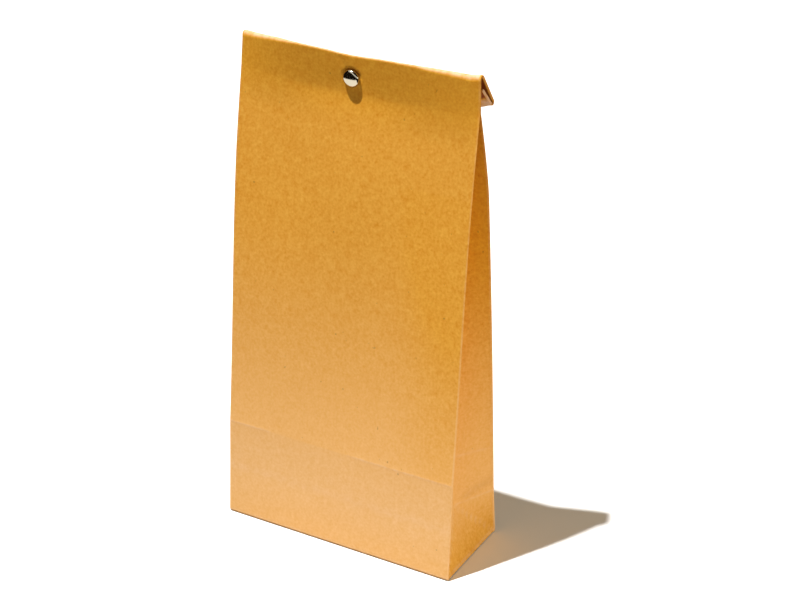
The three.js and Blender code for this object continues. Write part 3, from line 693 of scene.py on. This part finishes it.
# Cap: half an ellipse for the dome, a short upright rim and a quarter circle into the paper, spun round
AROUND, DOME_ROWS, TUCK_ROWS = 72, 28, 9
rise = np.linspace(np.pi / 2, 0, DOME_ROWS)[1:]
tuck = np.linspace(0, np.pi / 2, TUCK_ROWS)
spun_radius = np.append(CAP_RADIUS * np.cos(rise), CAP_RADIUS - RIM_ROUND * (1 - np.cos(tuck)))
spun_height = np.append(CAP_RIM + (CAP_TOP - CAP_RIM) * np.sin(rise),
                        RIM_ROUND * (1 - np.sin(tuck)) - CAP_SUNK)
turn = np.linspace(0, 2 * np.pi, AROUND, endpoint=False)
dome = np.stack([spun_radius[:, None] * np.cos(turn), np.repeat(-spun_height[:, None], AROUND, 1),
                 spun_radius[:, None] * np.sin(turn)], -1)
apex = len(spun_radius) * AROUND
cap_points = np.vstack([on_lip(dome), on_lip(np.array([[0, -CAP_TOP, 0]]))])
top_ring = np.arange(AROUND)
crown = np.stack([np.full(AROUND, apex), top_ring, np.roll(top_ring, -1)], -1)
under = apex - AROUND + top_ring
cap_faces = ring_faces(len(spun_radius), AROUND)[:, ::-1].tolist() + crown.tolist()
cap = add_piece("fastener_dome", cap_points, [*cap_faces, under[::-1].tolist()], len(cap_faces))
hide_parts("fastener_cap")

# Legs: a flat section with rounded edges, carried from inside the slit round the bend and out to a
# rounded tip that stands a little off the paper
LEG_SHEET, LEG_WIDTH, LEG_SLIT, LEG_BEND = 0.45, 3.4, 0.12, 0.3
LEG_LENGTHS = {"left": (-1, 12.0), "right": (1, 10.5)}
LEG_START, LEG_SEAT, LEG_LIFT = -1.1, 1.9, 0.35
SECTION_COLUMNS, SECTION_POWER, LEG_BEND_ROWS, LEG_ROWS = 24, 4, 10, 40
TIP_LEAST, TIP_THINNED, TIP_POWER = 1e-3, 0.5, 6
section_turn = np.linspace(0, 2 * np.pi, SECTION_COLUMNS, endpoint=False)
bend_radius = LEG_BEND + LEG_SHEET / 2
leg_middle = LEG_SEAT + LEG_SHEET / 2
start_x = LEG_SLIT / 2 + LEG_SHEET / 2
turned = np.linspace(0, np.pi / 2, LEG_BEND_ROWS)[1:]


def rounded(wave):
    """Coordinate on a superellipse one unit across: half the sine or cosine to the power 2 / n, with
    its sign kept."""
    return np.sign(wave) * abs(wave) ** (2 / SECTION_POWER) / 2


legs = []
for name, (side, length) in LEG_LENGTHS.items():
    out = start_x + bend_radius
    out = out + (length - out) * np.sin(np.linspace(0, np.pi / 2, LEG_ROWS)[1:])
    lifted = leg_middle + LEG_LIFT * ((out - start_x) / length) ** 3
    path_x = np.concatenate([[start_x, start_x], start_x + bend_radius * (1 - np.cos(turned)), out])
    path_y = np.concatenate([[LEG_START, leg_middle - bend_radius],
                             leg_middle - bend_radius * (1 - np.sin(turned)), lifted])
    heading = np.concatenate([[0, 0], turned, 0 * out + np.pi / 2])[:, None]
    to_tip = np.clip((path_x - length) / (LEG_WIDTH / 2) + 1, 0, 1)[:, None]
    width = LEG_WIDTH * np.sqrt(np.maximum(1 - to_tip**2, TIP_LEAST))
    thick = LEG_SHEET * (1 - TIP_THINNED * to_tip**TIP_POWER) * rounded(np.sin(section_turn))
    leg = np.stack([side * (path_x[:, None] + np.cos(heading) * thick),
                    path_y[:, None] - np.sin(heading) * thick,
                    width * rounded(np.cos(section_turn))], -1)
    leg_faces = ring_faces(len(path_x), SECTION_COLUMNS).tolist()
    first_end = np.arange(SECTION_COLUMNS)
    last_end = first_end + (len(path_x) - 1) * SECTION_COLUMNS
    # The mirrored leg's faces are turned round, so that they still look outwards
    faces = [*leg_faces, first_end[::-1].tolist(), last_end.tolist()]
    piece = add_piece("fastener_leg_" + name, on_lip(leg), [f[::side] for f in faces], len(leg_faces))
    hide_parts("fastener_prongs")
    legs.append(piece)

# Nickel plate on steel: bright, slightly warm, with fine wear that varies its polish
NICKEL = "#b8b09c"
RUB_SIZE, RUB_FROM, RUB_TO, POLISHED, DULLED = 10 / 9, 0.3, 0.7, 0.08, 0.16
nickel = bpy.data.materials.new("nickel_plate")
nickel.use_nodes = True
tree = nickel.node_tree
shader = tree.nodes["Principled BSDF"]
shader.inputs["Metallic"].default_value = 1.0
shader.inputs["Base Color"].default_value = linear(NICKEL)
place = add_node(tree, "ShaderNodeTexCoord").outputs["Object"]
rub = add_node(tree, "ShaderNodeTexNoise", links=[("Vector", place)],
               in_Scale=1 / (RUB_SIZE * MM), in_Detail=4.0)
polish = add_node(tree, "ShaderNodeMapRange", links=[("Value", rub.outputs[0])],
                  in_From_Min=RUB_FROM, in_From_Max=RUB_TO, in_To_Min=POLISHED, in_To_Max=DULLED)
tree.links.new(polish.outputs[0], shader.inputs["Roughness"])
for piece in [cap, *legs]:
    piece.data.materials.append(nickel)
    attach(piece, "root")

# Table top
# A plain matt white board under the bag. It is white where the camera or a reflection sees it. The
# light that it sends back to the bag is strongest at the bag's front right and fades away from there,
# and its underside isn't drawn.
BOARD_HALF, BOARD_DROP, BOARD_WHITE = 4.0, 0.0001, 0.95
BOUNCE_FROM, BOUNCE_NEAR, BOUNCE_FAR = (0.10, -0.06, 0.0), 0.12, 0.42
BOUNCE_MOST, BOUNCE_LEAST = 0.5, 0.06


def looked_at(tree):
    """1 for rays from the camera, from reflections and through clear things, and 0 for others: the
    three rays' flags added and clamped."""
    rays = add_node(tree, "ShaderNodeLightPath").outputs
    seen = add_node(tree, "ShaderNodeMath", operation="ADD", use_clamp=True,
                    links=[(0, rays["Is Camera Ray"]), (1, rays["Is Glossy Ray"])])
    seen = add_node(tree, "ShaderNodeMath", operation="ADD", use_clamp=True,
                    links=[(0, seen.outputs[0]), (1, rays["Is Transmission Ray"])])
    return seen.outputs[0]


corners = np.array([[-1, -1, 0], [1, -1, 0], [1, 1, 0], [-1, 1, 0]]) * BOARD_HALF - [0, 0, BOARD_DROP]
board = add_piece("table_top", corners / MM, [[0, 1, 2, 3]])
white_board = bpy.data.materials.new("matt_white_board")
white_board.use_nodes = True
tree = white_board.node_tree
tree.nodes.clear()
place = add_node(tree, "ShaderNodeTexCoord").outputs["Object"]
away = add_node(tree, "ShaderNodeVectorMath", operation="DISTANCE", in_1=BOUNCE_FROM, links=[(0, place)])
bounce = add_node(tree, "ShaderNodeMapRange", links=[("Value", away.outputs["Value"])],
                  in_From_Min=BOUNCE_NEAR, in_From_Max=BOUNCE_FAR,
                  in_To_Min=BOUNCE_MOST, in_To_Max=BOUNCE_LEAST)
white = add_node(tree, "ShaderNodeMix", data_type="FLOAT", in_3=BOARD_WHITE,
                 links=[(0, looked_at(tree)), (2, bounce.outputs[0])])
matt = add_node(tree, "ShaderNodeBsdfDiffuse", links=[("Color", white.outputs[0])])
clear = add_node(tree, "ShaderNodeBsdfTransparent")
face = add_node(tree, "ShaderNodeNewGeometry")
one_sided = add_node(tree, "ShaderNodeMixShader",
                     links=[(0, face.outputs["Backfacing"]), (1, matt.outputs[0]), (2, clear.outputs[0])])
add_node(tree, "ShaderNodeOutputMaterial", links=[("Surface", one_sided.outputs[0])])
board.data.materials.append(white_board)

# Light
# A small key lamp high at the front left, a wide soft fill low at the right, and a plain pale room all
# round, which is white where the camera or a reflection sees it.
TO_KEY, KEY_ENERGY, KEY_SPREAD = Vector((-0.18, -0.226, 0.957)), 4.88, np.radians(1.2)
key = bpy.data.objects.new("key", bpy.data.lights.new("key", "SUN"))
key.data.energy = KEY_ENERGY
key.data.angle = KEY_SPREAD
key.rotation_mode = "QUATERNION"
key.rotation_quaternion = TO_KEY.to_track_quat("Z", "Y")
bpy.context.scene.collection.objects.link(key)

TO_FILL, FILL_DISTANCE = Vector((1, -0.01, 0.15)).normalized(), 1.0
FILL_SIZE, FILL_ENERGY, FILL_COLOUR = 0.7, 6.6, "#fff8df"
fill = bpy.data.objects.new("fill", bpy.data.lights.new("fill", "AREA"))
fill.data.shape = "DISK"
fill.data.size = FILL_SIZE
fill.data.energy = FILL_ENERGY
fill.data.color = linear(FILL_COLOUR)[:3]
fill.location = TO_FILL * FILL_DISTANCE
fill.rotation_mode = "QUATERNION"
fill.rotation_quaternion = TO_FILL.to_track_quat("Z", "Y")
bpy.context.scene.collection.objects.link(fill)

ROOM_GLOW, ROOM_COLOUR = 0.205, "#ffe4c2"
room = bpy.data.worlds.new("pale_room")
room.use_nodes = True
tree = room.node_tree
tree.nodes.clear()
glow = add_node(tree, "ShaderNodeMix", data_type="RGBA", links=[(0, looked_at(tree))],
                in_6=[ROOM_GLOW * channel for channel in linear(ROOM_COLOUR)], in_7=(1, 1, 1, 1))
walls = add_node(tree, "ShaderNodeBackground", links=[("Color", glow.outputs[2])])
add_node(tree, "ShaderNodeOutputWorld", links=[("Surface", walls.outputs[0])])
bpy.context.scene.world = room

# Flags
# Two dark cloths that only reflections see. A black one stands before the bag and reaches lower at the
# right, and a brown one hangs over the bag and down behind it. The bright slit between them falls from
# the left to the right and shows as a streak on the fastener's head. Angles are in degrees.
FLAG_DISTANCE, FLAG_ROWS, FLAG_COLUMNS = 250.0, 16, 181
BEFORE, ALL_ROUND = np.linspace(-105, 105, FLAG_COLUMNS), np.linspace(-180, 180, FLAG_COLUMNS)
SLIT_LEFT, SLIT_FALL, SLIT_FALL_AT = 54, 50, (-30, 80)
SLIT_HALF, SLIT_OPEN = 11, (-115, -80, 60, 85)
FOOT, FOOT_DROP, FOOT_DROP_AT = -20, 40, (40, 70)
BEHIND_DROP, BEHIND_DROP_AT = 50, (-112, -100)
ZENITH = 90
BLACK_CLOTH, BROWN_CLOTH = "#1c120a", "#4a3420"
head_place = np.array([FASTENER_X, lip_face, FASTENER_HEIGHT])


def flag(name, bearing, low, high, colour):
    """A zone of a sphere about the fastener's head, from the low to the high elevation at each bearing,
    where 0 is straight to the front."""
    elevation = np.radians(low + (high - low) * np.linspace(0, 1, FLAG_ROWS)[:, None])
    way = np.radians(bearing)
    zone = np.stack([np.cos(elevation) * np.sin(way), -np.cos(elevation) * np.cos(way),
                     np.sin(elevation)], -1)
    first = np.arange(FLAG_ROWS - 1)[:, None] * FLAG_COLUMNS + np.arange(FLAG_COLUMNS - 1)
    faces = np.stack([first, first + FLAG_COLUMNS, first + FLAG_COLUMNS + 1, first + 1], -1).reshape(-1, 4)
    cloth = add_piece(name, zone.reshape(-1, 3) * FLAG_DISTANCE + head_place, faces.tolist())
    cotton = bpy.data.materials.new(name + "_cotton")
    cotton.use_nodes = True
    dyed = cotton.node_tree.nodes["Principled BSDF"]
    dyed.inputs["Base Color"].default_value = linear(colour)
    dyed.inputs["Roughness"].default_value = 1.0
    cloth.data.materials.append(cotton)
    cloth.visible_camera = False
    cloth.visible_diffuse = False
    cloth.visible_shadow = False


def slit(bearing):
    """Lower and upper edge of the slit: its middle falls in a smooth step, and it closes at both
    ends."""
    middle = SLIT_LEFT - SLIT_FALL * smoothstep(bearing, *SLIT_FALL_AT)
    half = SLIT_HALF * plateau(bearing, *SLIT_OPEN)
    return middle - half, middle + half


foot = FOOT - FOOT_DROP * smoothstep(BEFORE, *FOOT_DROP_AT)
hanging = slit(ALL_ROUND)[1] - BEHIND_DROP * (1 - smoothstep(ALL_ROUND, *BEHIND_DROP_AT))
flag("black", BEFORE, foot, slit(BEFORE)[0], BLACK_CLOTH)
flag("brown", ALL_ROUND, hanging, ZENITH, BROWN_CLOTH)

# Camera
# A long lens at the photograph's viewing angle, from the front right and above.
LOOK_AT = Vector((0.02216, -0.00778, 0.10856))
SENSOR_WIDTH, FOCAL_LENGTH = 36, 87.11
camera = bpy.data.objects.new("camera", bpy.data.cameras.new("camera"))
camera.location = (0.33304, -0.55744, 0.43510)
camera.rotation_mode = "QUATERNION"
camera.rotation_quaternion = (LOOK_AT - camera.location).to_track_quat("-Z", "Y")
camera.data.sensor_width = SENSOR_WIDTH
camera.data.lens = FOCAL_LENGTH
bpy.context.scene.collection.objects.link(camera)
bpy.context.scene.camera = camera
bpy.context.scene.view_settings.view_transform = "Standard"
